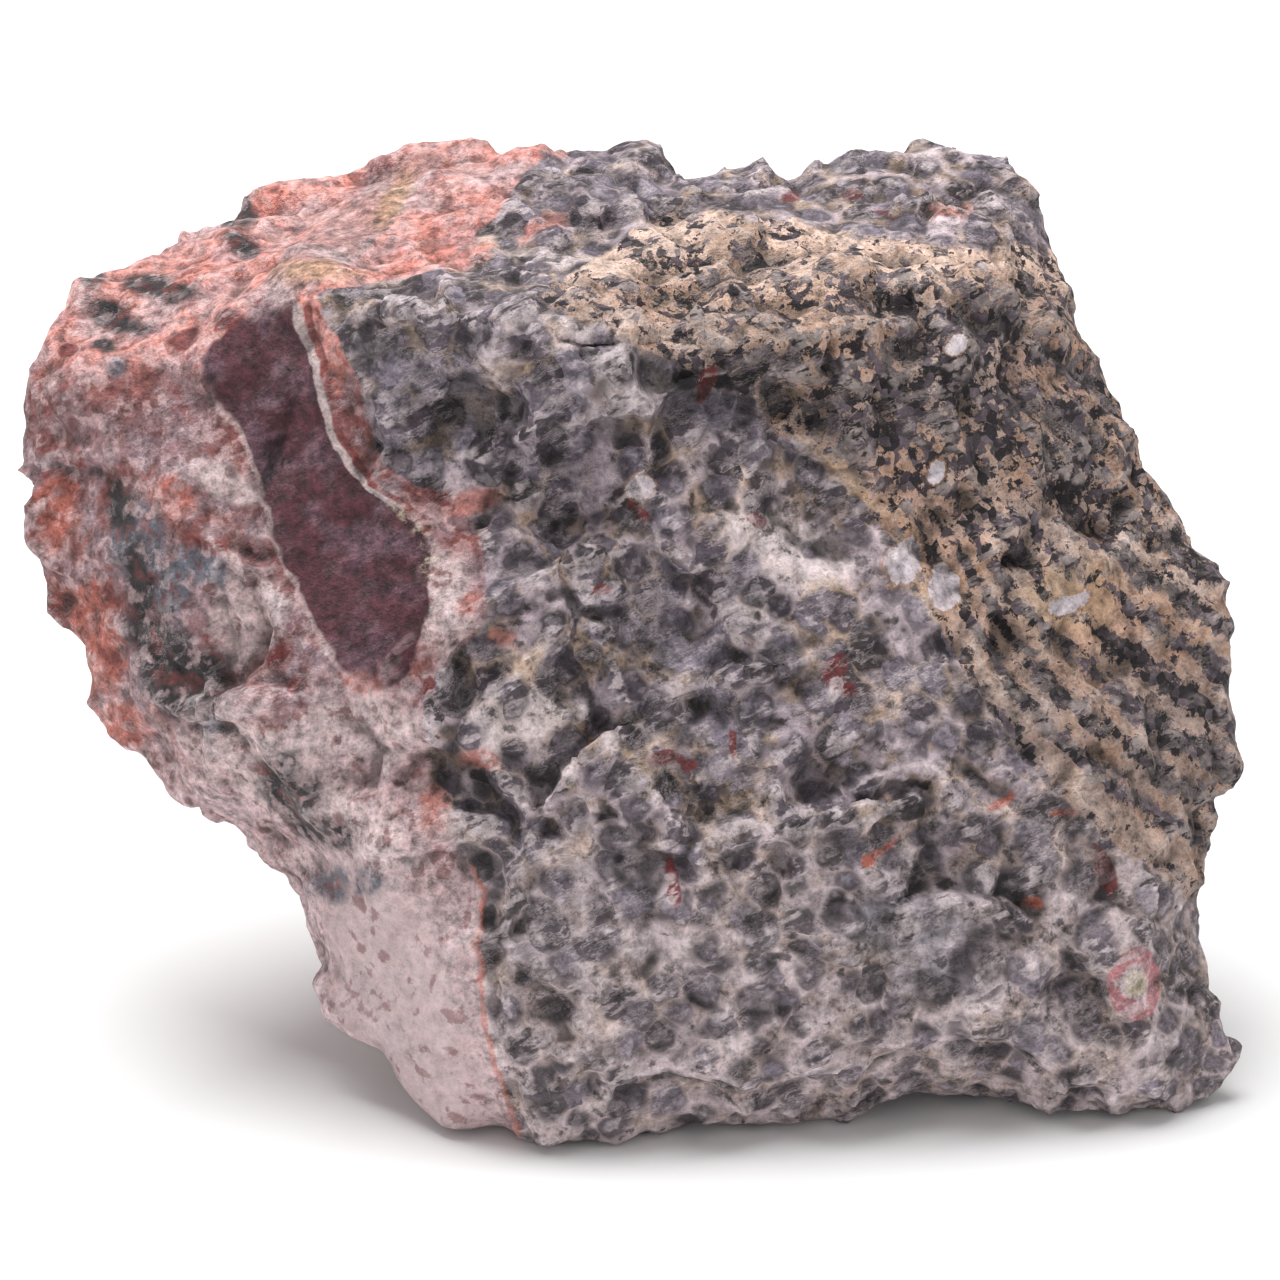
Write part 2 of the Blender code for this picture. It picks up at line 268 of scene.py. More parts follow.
CRYSTALS = (
    (0.0, 10.1, -10.4, 0.95, 0.8, 28.0),
    (28.5, 2.5, -4.0, 1.5, 0.65, 14.0),
    (17.6, 5.2, -8.2, 1.2, 1.9, -20.0),
    (20.3, 3.6, -7.4, 1.0, 1.4, 0.0),
    (19.8, 11.3, -8.0, 0.6, 0.9, -30.0),
    (21.2, 19.7, -6.0, 0.8, 0.6, 30.0),
)
SHADED_PATCHES = (
    (28.9, 15.0, -3.0, 3.2, 3.6, 0.0),
    (29.4, 15.2, 4.0, 3.6, 4.2, 0.0),
    (4.0, -4.2, -10.5, 5.4, 3.4, 0.0),
    (20.6, 14.4, -6.0, 3.4, 2.4, -30.0),
    (-13.0, 15.6, -9.0, 6.6, 4.6, -8.0),
    (-6.0, 12.0, -10.0, 4.0, 2.4, -20.0),
    (4.0, 17.2, -10.0, 8.0, 2.4, -12.0),
    (0.0, 3.8, -10.8, 3.4, 1.2, 18.0),
    (-4.0, -18.6, -10.5, 5.0, 3.6, 0.0),
    (20.0, -18.6, -9.0, 5.0, 3.6, 0.0),
    (5.2, 3.6, -10.6, 2.6, 1.0, -38.0),
)

# Forms that stand out or lie deeper on the front: the same six numbers, then millimetres out.
FORMS = (
    (-5.8, 4.2, -11.0, 7.6, 1.2, 22.5, 0.9),
    (3.5, 5.1, -11.0, 3.6, 1.1, -35.0, 0.8),
    (-26.5, -4.4, -6.0, 9.0, 1.3, 8.0, 0.8),
    (-16.0, -1.0, -9.0, 3.4, 1.1, 48.0, 0.7),
    (-2.2, -7.0, -11.0, 5.0, 0.5, 31.0, 0.6),
    (-2.7, 15.3, -10.5, 3.4, 0.5, 26.5, 0.6),
    (-11.7, 15.6, -10.0, 6.0, 4.0, -8.0, -0.9),
    (5.0, 16.4, -10.0, 12.0, 2.6, -12.0, -0.7),
    (-6.0, 20.8, -9.0, 14.0, 1.4, -4.0, 0.8),
    (14.0, 20.6, -7.0, 9.0, 1.4, 10.0, 0.6),
    (25.3, 5.3, -6.0, 1.6, 0.9, 0.0, -0.9),
    (-24.5, 12.0, -9.0, 1.0, 9.0, -20.0, -0.5),
    (-14.0, -13.0, -10.0, 8.0, 1.4, 12.0, 0.6),
    (8.0, -2.0, -10.5, 9.0, 1.2, 14.0, 0.7),
    (12.0, -12.0, -10.5, 12.0, 1.4, 10.0, 0.6),
    (22.0, -18.0, -8.0, 9.0, 1.5, -12.0, 0.6),
)

SPOT_GROUPS = {
    "RED_FLAKES": RED_FLAKES,
    "ORANGE_FLAKES": ORANGE_FLAKES,
    "SALMON_PATCHES": SALMON_PATCHES,
    "CREAM_PATCHES": CREAM_PATCHES,
    "BLUE_GREY_PATCHES": BLUE_GREY_PATCHES,
    "DARK_PATCHES": DARK_PATCHES,
    "OCHRE_STAINS": OCHRE_STAINS,
    "MAUVE_FACE": MAUVE_FACE,
    "RING_EYE": RING_EYE,
    "BIG_ORBS": BIG_ORBS,
    "CRYSTALS": CRYSTALS,
    "SHADED_PATCHES": SHADED_PATCHES,
}

# How far in and out from its middle each spot reaches.
SPOT_DEPTH = 6.0

# What the pattern and the roughness measure, in millimetres.
ORB_SIZE = 2.3
GRAIN_SIZE = 0.7
BAND_SPACING = 2.3
SLAB_DEPTH = 14.0
CLOUD_SIZE = 7.0
VEIL_SIZE = 4.0
PATCH_SIZE = 2.8
RAG_SIZE = 1.7
BLOT_SIZE = 1.3
FINE_SIZE = 0.8
LEDGE_SIZE = 7.0
CHIP_SIZE = 3.0
ROUGH_SIZE = 1.4
ROUGH_HEIGHT = 0.7
ORB_HEIGHT = 0.3
BAND_HEIGHT = 0.06
BUMP_HEIGHT = 0.5
LINE_REACH = 45.0

# How many points away the skin still counts as near, where edges and hollows are told apart.
EDGE_REACH = 6

# The lean of ledges and chips, how far the forms stand out, and the fibres' slope and shape.
LEDGE_LEAN = 0.6
CHIP_LEAN = 0.4
FORM_SHARE = 1.6
FIBRE_TURN = math.radians(25.0)
FIBRE_SHAPE = (0.3, 0.8, 1.0)

# The studio, in metres and watts: each lamp's name, place, width and power.
LAMPS = (
    ("top light", (-0.10, 0.10, 0.80), 0.6, 8.0),
    ("front light", (-0.10, -0.90, 0.25), 0.6, 0.8),
)
LAMP_AIM = Vector((0.0, 0.0, 0.03))
SURROUND_LIGHT = 0.42
FLOOR_RADIUS = 1.6
FLOOR_GREY = 0.93

# Colours as the eye reads them in the photo's light, from 0 to 255.
SEEN_COLOURS = {
    "salmon top": (216, 140, 128),
    "pink top": (212, 172, 168),
    "dull pink top": (200, 160, 156),
    "mauve top": (150, 120, 126),
    # The face's colours: partly their own duller tone, partly painted shade.
    "brick face with painted shade": (140, 82, 76),
    "mauve grey face with painted shade": (146, 116, 120),
    "lilac face": (134, 116, 126),
    "brown face": (124, 80, 80),
    # painted shade under the brow
    "brow": (120, 78, 78),
    "pink foot with painted light": (204, 178, 180),
    "mauve face": (212, 190, 192),
    "cream on pink": (212, 190, 190),
    "ochre on pink": (190, 158, 130),
    "salmon low down with painted shade": (180, 104, 90),
    "salmon high up": (208, 130, 118),
    "blue-grey on pink": (92, 97, 108),
    "dark on pink": (54, 48, 50),
    "slab": (80, 42, 50),
    "violet slab": (100, 74, 88),
    "slab's lower end with painted highlight": (150, 114, 122),
    "pink on slab's top": (176, 134, 130),
    "grey on slab's top": (178, 154, 154),
    "ochre on slab's top": (184, 146, 112),
    "pale matrix": (189, 172, 178),
    "grey matrix": (156, 141, 148),
    "beige matrix": (188, 160, 136),
    "sandy matrix": (176, 144, 106),
    "dark grey matrix": (112, 102, 108),
    "matrix at the foot": (192, 175, 176),
    "ochre in matrix": (158, 132, 102),
    "cream in matrix": (208, 193, 193),
    "salmon in matrix": (186, 116, 104),
    "blue-grey in matrix": (130, 132, 142),
    "shaded matrix": (104, 100, 112),
    "dark in matrix": (80, 72, 76),
    "tan": (204, 164, 141),
    "lilac tan": (202, 176, 164),
    "tan on the top": (236, 204, 186),
    "tan at the foot": (146, 127, 120),
    "brown tan": (154, 116, 90),
    "ochre in tan": (186, 154, 118),
    "cream in tan": (194, 172, 160),
    "salmon in tan": (186, 124, 108),
    "dark in tan": (60, 50, 50),
    "pink blots": (208, 178, 178),
    "red blots": (128, 68, 64),
    "pits": (96, 52, 52),
    "slab's edge": (196, 172, 170),
    "orb rims": (27, 18, 24),
    "dark blots": (70, 60, 64),
    "darkest orbs": (58, 48, 58),
    "palest orbs": (134, 124, 138),
    "pale blots": (150, 140, 144),
    "orbs at the foot": (124, 114, 116),
    "big orbs": (112, 102, 108),
    "big orbs' cores": (48, 40, 44),
    "black grains": (30, 22, 27),
    "grey grains": (92, 80, 87),
    "white vein": (196, 178, 176),
    "red vein": (130, 66, 62),
    "vein's trail": (180, 174, 150),
    "line at the foot": (190, 112, 96),
    "orange flakes": (166, 90, 70),
    "red flakes": (106, 42, 42),
    "crystals' rims": (164, 122, 84),
    "crystals": (200, 192, 202),
    "ring": (178, 112, 118),
    "ring's eye": (190, 176, 146),
    "dust_and_highlight": (214, 199, 201),
    "dust and highlight on tan": (206, 190, 184),
}


def shader_colour(seen):
    """A colour given as the eye reads it, from 0 to 255, as the shader needs it."""
    return tuple(((part / 255.0 + 0.055) / 1.055) ** 2.4 for part in seen)


COLOURS = {name: shader_colour(seen) for name, seen in SEEN_COLOURS.items()}


class Value:
    """A number that varies over the stone. Sums on it add the Math nodes that work it out."""

    def __init__(self, bench, socket):
        self.bench = bench
        self.socket = socket

    def math(self, operation, *others):
        """The outcome of one Math node on this value and any others."""
        sockets = dict(enumerate((self, *others)))
        made = self.bench.node("ShaderNodeMath", {"operation": operation}, sockets)
        return Value(self.bench, made.outputs[0])

    def __add__(self, other):
        return self.math("ADD", other)

    def __radd__(self, other):
        return self.math("ADD", other)

    def __mul__(self, other):
        return self.math("MULTIPLY", other)

    def __sub__(self, other):
        return self.math("SUBTRACT", other)

    def __rsub__(self, other):
        return (self * -1.0).math("ADD", other)

    def __truediv__(self, other):
        return self.math("DIVIDE", other)

    def __rtruediv__(self, other):
        return self.math("POWER", -1.0) * other

    def larger(self, other):
        return self.math("MAXIMUM", other)

    def smaller(self, other):
        return self.math("MINIMUM", other)

    def size(self):
        """The value without its sign."""
        return self.math("ABSOLUTE")

    def rise(self, low, high):
        """0 up to the low value, 1 from the high value, and smooth in between."""
        made = self.bench.node(
            "ShaderNodeMapRange",
            {"interpolation_type": "SMOOTHSTEP"},
            {"Value": self, "From Min": low, "From Max": high},
        )
        return Value(self.bench, made.outputs["Result"])

    def fall(self, low, high):
        """1 up to the low value, 0 from the high value, and smooth in between."""
        return 1.0 - self.rise(low, high)

    def along(self, points):
        """Read a line of (in, out) points, which all lie within the lines' reach either way."""
        width = 2.0 * LINE_REACH
        made = self.bench.node("ShaderNodeFloatCurve", None, {"Value": (self + LINE_REACH) / width})
        line = made.mapping.curves[0].points
        for number, (start, end) in enumerate(points):
            x, y = (start + LINE_REACH) / width, (end + LINE_REACH) / width
            if number < 2:
                line[number].location = (x, y)
            else:
                line.new(x, y)
        for point in line:
            point.handle_type = "AUTO_CLAMPED"
        made.mapping.update()
        return Value(self.bench, made.outputs[0]) * width - LINE_REACH


class Bench:
    """Lays out the nodes of one tree, a material's or a modifier's."""

    def __init__(self, tree):
        self.tree = tree

    def node(self, kind, settings=None, sockets=None):
        """A new node with these settings, and each socket linked or given a plain value."""
        made = self.tree.nodes.new(kind)
        for name, value in (settings or {}).items():
            setattr(made, name, value)
        for name, value in (sockets or {}).items():
            value = getattr(value, "socket", value)
            if isinstance(value, bpy.types.NodeSocket):
                self.tree.links.new(value, made.inputs[name])
            elif made.inputs[name].type == "RGBA" and len(value) == 3:
                made.inputs[name].default_value = (*value, 1.0)
            else:
                made.inputs[name].default_value = value
        return made

    def vector_math(self, operation, *parts):
        made = self.node("ShaderNodeVectorMath", {"operation": operation}, dict(enumerate(parts)))
        return made.outputs["Value" if operation in ("LENGTH", "DOT_PRODUCT") else "Vector"]

    def grown(self, vector, amount):
        """A vector made this many times as long."""
        sockets = {0: vector, "Scale": amount}
        return self.node("ShaderNodeVectorMath", {"operation": "SCALE"}, sockets).outputs["Vector"]

    def split(self, place):
        parts = self.node("ShaderNodeSeparateXYZ", None, {0: place})
        return [Value(self, out) for out in parts.outputs]

    def turned(self, place, axis, angle, centre=(0.0, 0.0, 0.0)):
        """The place turned about an axis through this centre."""
        sockets = {"Vector": place, "Center": centre, "Angle": angle}
        settings = {"rotation_type": axis + "_AXIS"}
        return self.node("ShaderNodeVectorRotate", settings, sockets).outputs[0]

    def joined(self, x, y, z):
        return self.node("ShaderNodeCombineXYZ", None, {0: x, 1: y, 2: z}).outputs[0]

    def along_axis(self, place, axis):
        """How far the place lies along an axis that is 1 long."""
        return Value(self, self.vector_math("DOT_PRODUCT", place, axis))

    def noise(self, place, size, detail=3.0, roughness=0.55):
        """Cloudy noise from 0 to 1, whose larger blots are about this many millimetres."""
        sockets = {"Vector": place, "Scale": 1.0 / size, "Detail": detail, "Roughness": roughness}
        made = self.node("ShaderNodeTexNoise", {"noise_dimensions": "3D"}, sockets)
        return Value(self, made.outputs[0])

    def warped(self, place, size, reach, detail=2.0):
        """The place moved about by noise, up to about this far each way."""
        sockets = {"Vector": place, "Scale": 1.0 / size, "Detail": detail}
        made = self.node("ShaderNodeTexNoise", {"noise_dimensions": "3D"}, sockets)
        middle = self.vector_math("SUBTRACT", made.outputs["Color"], (0.5, 0.5, 0.5))
        return self.vector_math("ADD", place, self.grown(middle, 4.0 * reach))

    def cells(self, place, size):
        """How far the nearest of many scattered points is, in cells, and its cell's own numbers."""
        sockets = {"Vector": place, "Scale": 1.0 / size}
        made = self.node("ShaderNodeTexVoronoi", {"feature": "F1"}, sockets)
        return Value(self, made.outputs["Distance"]), self.split(made.outputs["Color"])

    def facets(self, place, size, lean):
        """Heights of flat chips about this size, each leaning its own way."""
        sockets = {"Vector": place, "Scale": 1.0 / size}
        made = self.node("ShaderNodeTexVoronoi", {"feature": "F1"}, sockets)
        off = self.vector_math("SUBTRACT", place, made.outputs["Position"])
        tilt = self.vector_math("SUBTRACT", made.outputs["Color"], (0.5, 0.5, 0.5))
        made = self.node("ShaderNodeTexVoronoi", {"feature": "DISTANCE_TO_EDGE"}, sockets)
        inside = Value(self, made.outputs["Distance"]).rise(0.0, 0.14)
        return Value(self, self.vector_math("DOT_PRODUCT", off, tilt)) * inside * lean

    def kept_out(self, name, kind="FLOAT"):
        """Where a tree reads what the skin keeps under this name."""
        if self.tree.bl_idname == "GeometryNodeTree":
            made = self.node("GeometryNodeInputNamedAttribute", {"data_type": kind}, {"Name": name})
            return made.outputs[0]
        output = {"FLOAT": "Fac", "FLOAT_COLOR": "Color", "FLOAT_VECTOR": "Vector"}[kind]
        return self.node("ShaderNodeAttribute", {"attribute_name": name}).outputs[output]

    def kept(self, name):
        """A number that the skin keeps at each of its points."""
        return Value(self, self.kept_out(name))

    def kept_colour(self, name):
        """A colour that the skin keeps at each of its points."""
        return self.kept_out(name, "FLOAT_COLOR")

    def keep(self, skin, name, value, kind="FLOAT"):
        """The skin with one more number, colour or place kept at each of its points."""
        sockets = {"Geometry": skin, "Name": name, "Value": value}
        return self.node("GeometryNodeStoreNamedAttribute", {"data_type": kind}, sockets).outputs[0]

    def mix(self, share, first, second):
        """The first colour, turned to the second by this share."""
        settings = {"data_type": "RGBA", "clamp_factor": True}
        made = self.node("ShaderNodeMix", settings, {0: share, 6: first, 7: second})
        return made.outputs[2]

    def shade(self, colour, amount):
        """A colour made lighter or darker by a varying amount, where 1 leaves it as it is."""
        return self.vector_math("MULTIPLY", colour, self.joined(amount, amount, amount))


def front_place(bench, place):
    """Across, depth and up as the eye in front of the stone sees them."""
    aimed = bench.vector_math("SUBTRACT", place, EYE_AIM)
    across, depth, up = bench.split(bench.turned(aimed, "X", EYE_PITCH))
    nearness = EYE_DISTANCE / (depth + EYE_DISTANCE)
    return bench.joined(across * nearness, depth, up * nearness)


def spots(bench, place, rows):
    """Above 0 inside any of these spots, and 1 at their middles."""
    nearest = None
    for across, up, depth, wide, high, turn in rows:
        centre = Vector((across, depth, up))
        turned = place
        if turn:
            turned = bench.turned(place, "Y", math.radians(turn), centre)
        size = Vector((1.0 / wide, 1.0 / SPOT_DEPTH, 1.0 / high))
        off = bench.vector_math("MULTIPLY_ADD", turned, size, -centre * size)
        away = Value(bench, bench.vector_math("LENGTH", off))
        nearest = away if nearest is None else nearest.smaller(away)
    return 1.0 - nearest


def work_on(stone, name, work):
    """Add a modifier whose tree this work lays out, and apply it."""
    tree = bpy.data.node_groups.new(name, "GeometryNodeTree")
    tree.interface.new_socket("Geometry", in_out="INPUT", socket_type="NodeSocketGeometry")
    tree.interface.new_socket("Geometry", in_out="OUTPUT", socket_type="NodeSocketGeometry")
    bench = Bench(tree)
    skin = bench.node("NodeGroupInput").outputs[0]
    place = bench.grown(bench.node("GeometryNodeInputPosition").outputs[0], 1.0 / MM)
    bench.node("NodeGroupOutput", None, {0: work(bench, skin, place)})
    modifier = stone.modifiers.new(name, "NODES")
    modifier.node_group = tree
    bpy.ops.object.modifier_apply(modifier=modifier.name)
    bpy.data.node_groups.remove(tree)


def pushed_out(bench, skin, height):
    """The skin moved along its normals by this many millimetres."""
    normal = bench.node("GeometryNodeInputNormal").outputs[0]
    sockets = {"Geometry": skin, "Offset": bench.grown(normal, height * MM)}
    return bench.node("GeometryNodeSetPosition", None, sockets).outputs[0]


def keep_layout(bench, skin, place):
    """How far each place lies past each line across the stone, and the clouds that blur them."""
    rag = (bench.noise(place, RAG_SIZE, 4.0, 0.62) - 0.5) * 2.0
    sharp = front_place(bench, place)
    front = bench.warped(sharp, 3.0, 0.3, 3.0)
    across, depth, up = bench.split(front)
    above_edge = up - across.along(TAN_LOWER)
    patch_place = bench.vector_math("ADD", place, (5.0, 11.0, 17.0))
    veil_place = bench.vector_math("ADD", place, (31.0, 7.0, 3.0))
    blot_place = bench.vector_math("ADD", place, (7.0, 3.0, 1.0))
    found = {
        "rag": rag,
        "up": up,
        "past_pink": across - up.along(PINK_EDGE),
        "past_vein": across - up.along(VEIN_LINE),
        "past_slab": (across - up.along(SLAB_LEFT)).smaller((depth - SLAB_DEPTH) * -0.4),
        "into_tan": above_edge.smaller(across.along(TAN_UPPER) - up),
        "bands": above_edge * 0.74,
        "clouds": bench.noise(place, CLOUD_SIZE, 4.0, 0.6) + rag * 0.08,
        "patches": bench.noise(patch_place, PATCH_SIZE, 4.0, 0.64),
        "veils": bench.noise(veil_place, VEIL_SIZE, 4.0, 0.62) + rag * 0.08,
        "blots": bench.noise(blot_place, BLOT_SIZE, 2.0, 0.7),
    }
    for name, value in found.items():
        skin = bench.keep(skin, name, value)
    skin = bench.keep(skin, "front", front, "FLOAT_VECTOR")
    skin = bench.keep(skin, "sharp_front", sharp, "FLOAT_VECTOR")
    return bench.keep(skin, "bent_place", bench.warped(place, 1.5, 0.3, 2.0), "FLOAT_VECTOR")


def relief(bench, skin, place):
    """Ledges and chips, with the orbs as low lumps or pits."""
    pink = bench.kept("past_pink").fall(-0.3, 0.3)
    tan = bench.kept("into_tan").rise(-0.5, 0.5) * (1.0 - pink)
    bent_place = bench.kept_out("bent_place", "FLOAT_VECTOR")
    ledges = bench.facets(bench.warped(place, 3.0, 0.4, 2.0), LEDGE_SIZE, LEDGE_LEAN)
    chips = bench.facets(bent_place, CHIP_SIZE, CHIP_LEAN)
    away, numbers = bench.cells(bent_place, ORB_SIZE)
    orb = (0.5 + numbers[2] * 0.2 - away).rise(-0.1, 0.3) * (1.0 - pink) * (1.0 - tan)
    height = (ledges + chips) * calm_share(bench, pink) + orb * (numbers[0] - 0.55) * ORB_HEIGHT
    return pushed_out(bench, skin, (height - 0.1) * above_rest(bench, place))


def grain(bench, skin, place):
    """The broken surface's finer roughness, and the tan bands in low steps."""
    pink = bench.kept("past_pink").fall(-0.3, 0.3)
    tan = bench.kept("into_tan").rise(-0.5, 0.5) * (1.0 - pink)
    rough = bench.noise(place, ROUGH_SIZE, 4.0, 0.7) - 0.5
    wave = (bench.kept("bands") * (math.tau / BAND_SPACING)).math("SINE")
    height = rough * calm_share(bench, pink) * ROUGH_HEIGHT + wave * tan * BAND_HEIGHT
    return pushed_out(bench, skin, height * above_rest(bench, place))


def calm_share(bench, pink):
    """Less than 1 where the skin is smoother: in the pink zone, on the slab, on the mauve face."""
    slab = bench.kept("past_slab").rise(-0.3, 0.3) * bench.kept("past_vein").fall(-0.3, 0.3)
    face = bench.kept("MAUVE_FACE").rise(-0.2, 0.2) * pink
    return (1.0 - slab.larger(face) * 0.6) * (1.0 - pink * 0.3)


def above_rest(bench, place):
    """0 on the flat spot the stone rests on, and 1 from a little above it."""
    return bench.along_axis(place, (0.0, 0.0, 1.0)).rise(0.05, 0.8)


def forms(bench, skin, place):
    """The ridges and hollows on the front."""
    front = bench.kept_out("sharp_front", "FLOAT_VECTOR")
    height = 0.0
    for *form, out in FORMS:
        height = spots(bench, front, [form]).rise(0.0, 0.9) * out + height
    return pushed_out(bench, skin, height * above_rest(bench, place) * FORM_SHARE)


def keep_above_floor(bench, skin, place):
    """Nothing reaches below the level that the stone stands on."""
    x, y, z = bench.split(place)
    lifted = bench.grown(bench.joined(x, y, z.larger(0.0)), MM)
    sockets = {"Geometry": skin, "Position": lifted}
    return bench.node("GeometryNodeSetPosition", None, sockets).outputs[0]


def keep_edges(bench, skin, place):
    """How far each point stands out from the skin around it, in millimetres."""
    settings = {"data_type": "FLOAT_VECTOR"}
    level = bench.node("GeometryNodeBlurAttribute", settings, {"Iterations": EDGE_REACH})
    bench.tree.links.new(place, next(s for s in level.inputs if s.type == "VECTOR" and s.enabled))
    smoothed = next(out for out in level.outputs if out.type == "VECTOR" and out.enabled)
    normal = bench.node("GeometryNodeInputNormal").outputs[0]
    above = bench.vector_math("SUBTRACT", place, smoothed)
    return bench.keep(skin, "edge", bench.along_axis(above, normal))


class Ground:
    """The soft colours of the stone at each point of its skin, read from what it keeps."""

    def __init__(self, bench):
        self.bench = bench
        self.mix = bench.mix
        self.rag = bench.kept("rag")
        self.clouds = bench.kept("clouds")
        self.veils = bench.kept("veils")
        self.patches = bench.kept("patches")
        self.up = bench.kept("up")
        self.low = self.up.fall(-18.0, -8.0)

    def spot(self, name, softness=0.25, raggedness=0.5):
        """1 inside the spots of this name and 0 outside, with a soft and ragged edge."""
        return (self.bench.kept(name) + self.rag * raggedness).rise(-softness, softness)


def keep_pink(bench, skin, place):
    """Salmon, pinkish white and mauve, with greyer and bluer patches. The face is painted darker
    than the top as shade, most under the brow, and is paler towards the foot, partly painted light.
    """
    here = Ground(bench)
    mix = here.mix
    top = mix(here.clouds.rise(0.48, 0.62), COLOURS["salmon top"], COLOURS["pink top"])
    top = mix(here.patches.rise(0.46, 0.54) * 0.4, top, COLOURS["dull pink top"])
    top = mix(here.veils.rise(0.5, 0.60) * 0.6, top, COLOURS["mauve top"])
    # The face takes the top's colours darker: partly its own duller tone, partly painted shade.
    face = mix(here.patches.rise(0.45, 0.53), COLOURS["brick face with painted shade"], COLOURS["mauve grey face with painted shade"])
    face = mix(here.veils.rise(0.50, 0.60) * 0.65, face, COLOURS["lilac face"])
    face = mix(here.rag.fall(-0.34, -0.1) * 0.5, face, COLOURS["brown face"])
    # Painted shade: the face turns darker high up, under the brow.
    face = mix(here.up.rise(11.0, 15.0) * 0.5, face, COLOURS["brow"])
    colour = mix((here.up + here.rag * 3.0).rise(16.5, 20.0), face, top)
    # Paler towards the foot: partly the face's own paler pink, partly painted light.
    colour = mix(here.up.fall(-12.0, 0.0) * 0.7, colour, COLOURS["pink foot with painted light"])
    colour = mix(here.spot("MAUVE_FACE", 0.5, 0.8) * 0.85, colour, COLOURS["mauve face"])
    colour = mix(here.spot("CREAM_PATCHES") * 0.75, colour, COLOURS["cream on pink"])
    colour = mix(here.spot("OCHRE_STAINS", 0.5) * 0.6, colour, COLOURS["ochre on pink"])
    # Salmon patches are darker on the face than on the top: painted shade.
    salmon = mix(here.up.rise(18.0, 22.0), COLOURS["salmon low down with painted shade"], COLOURS["salmon high up"])
    colour = mix(here.spot("SALMON_PATCHES", 0.2, 0.8) * 0.85, colour, salmon)
    blue_grey = here.spot("BLUE_GREY_PATCHES", 0.3) * here.rag.rise(-0.34, -0.1) * 0.9
    colour = mix(blue_grey, colour, COLOURS["blue-grey on pink"])
    dark = here.spot("DARK_PATCHES", 0.3) * here.rag.rise(-0.5, -0.25)
    colour = mix(dark, colour, COLOURS["dark on pink"])
    return bench.keep(skin, "pink_ground", colour, "FLOAT_COLOR")


def keep_slab(bench, skin, place):
    """Red-brown, violet in the middle, paler at its lower end, partly its mauve tone and partly a
    painted highlight, and paler on the top.
    """
    here = Ground(bench)
    mix = here.mix
    colour = mix(here.veils.rise(0.48, 0.62) * 0.5, COLOURS["slab"], COLOURS["violet slab"])
    # Paler towards the lower end: partly the slab's mauve tone, partly a painted highlight.
    colour = mix(here.up.fall(-6.0, 0.0) * 0.4, colour, COLOURS["slab's lower end with painted highlight"])
    greyness = here.veils.rise(0.42, 0.6)
    top = mix(greyness, COLOURS["pink on slab's top"], COLOURS["grey on slab's top"])
    top = mix(here.spot("OCHRE_STAINS", 0.5) * 0.7, top, COLOURS["ochre on slab's top"])
    colour = mix((here.up + here.rag * 3.0).rise(21.0, 23.5) * 0.9, colour, top)
    return bench.keep(skin, "slab_ground", colour, "FLOAT_COLOR")


def keep_matrix(bench, skin, place):
    """What the orbs lie in: grey, beige and sandy, with cream and blue-grey patches."""
    here = Ground(bench)
    mix = here.mix
    colour = mix(here.clouds.rise(0.44, 0.6), COLOURS["pale matrix"], COLOURS["grey matrix"])
    colour = mix(here.veils.rise(0.49, 0.60) * 0.8, colour, COLOURS["beige matrix"])
    colour = mix(here.patches.fall(0.42, 0.48) * 0.6, colour, COLOURS["sandy matrix"])
    dark_grey = here.rag.fall(-0.24, -0.02) * (1.0 - here.low) * 0.7
    colour = mix(dark_grey, colour, COLOURS["dark grey matrix"])
    colour = mix(here.low * 0.6, colour, COLOURS["matrix at the foot"])
    colour = mix(here.spot("OCHRE_STAINS", 0.5) * 0.6, colour, COLOURS["ochre in matrix"])
    colour = mix(here.spot("CREAM_PATCHES") * 0.75, colour, COLOURS["cream in matrix"])
    colour = mix(here.spot("SALMON_PATCHES") * 0.8, colour, COLOURS["salmon in matrix"])
    colour = mix(here.spot("BLUE_GREY_PATCHES", 0.5) * 0.6, colour, COLOURS["blue-grey in matrix"])
    colour = mix(here.spot("SHADED_PATCHES", 0.6) * 0.35, colour, COLOURS["shaded matrix"])
    colour = mix(here.spot("DARK_PATCHES", 0.5) * 0.6, colour, COLOURS["dark in matrix"])
    return bench.keep(skin, "matrix_ground", colour, "FLOAT_COLOR")


def keep_tan(bench, skin, place):
    """What the black grains lie in: tan, with lilac-white and cream patches."""
    here = Ground(bench)
    mix = here.mix
    colour = mix(here.clouds.rise(0.40, 0.6), COLOURS["tan"], COLOURS["lilac tan"])
    colour = mix(here.up.rise(20.0, 26.0) * 0.8, colour, COLOURS["tan on the top"])
    colour = mix(here.up.fall(-8.0, 4.0) * 0.7, colour, COLOURS["tan at the foot"])
    colour = mix(here.veils.rise(0.50, 0.62) * 0.6, colour, COLOURS["brown tan"])
    colour = mix(here.spot("OCHRE_STAINS", 0.5) * 0.6, colour, COLOURS["ochre in tan"])
    colour = mix(here.spot("CREAM_PATCHES") * 0.35, colour, COLOURS["cream in tan"])
    colour = mix(here.spot("SALMON_PATCHES") * 0.8, colour, COLOURS["salmon in tan"])
    colour = mix(here.spot("DARK_PATCHES", 0.5) * 0.8, colour, COLOURS["dark in tan"])
    return bench.keep(skin, "tan_ground", colour, "FLOAT_COLOR")


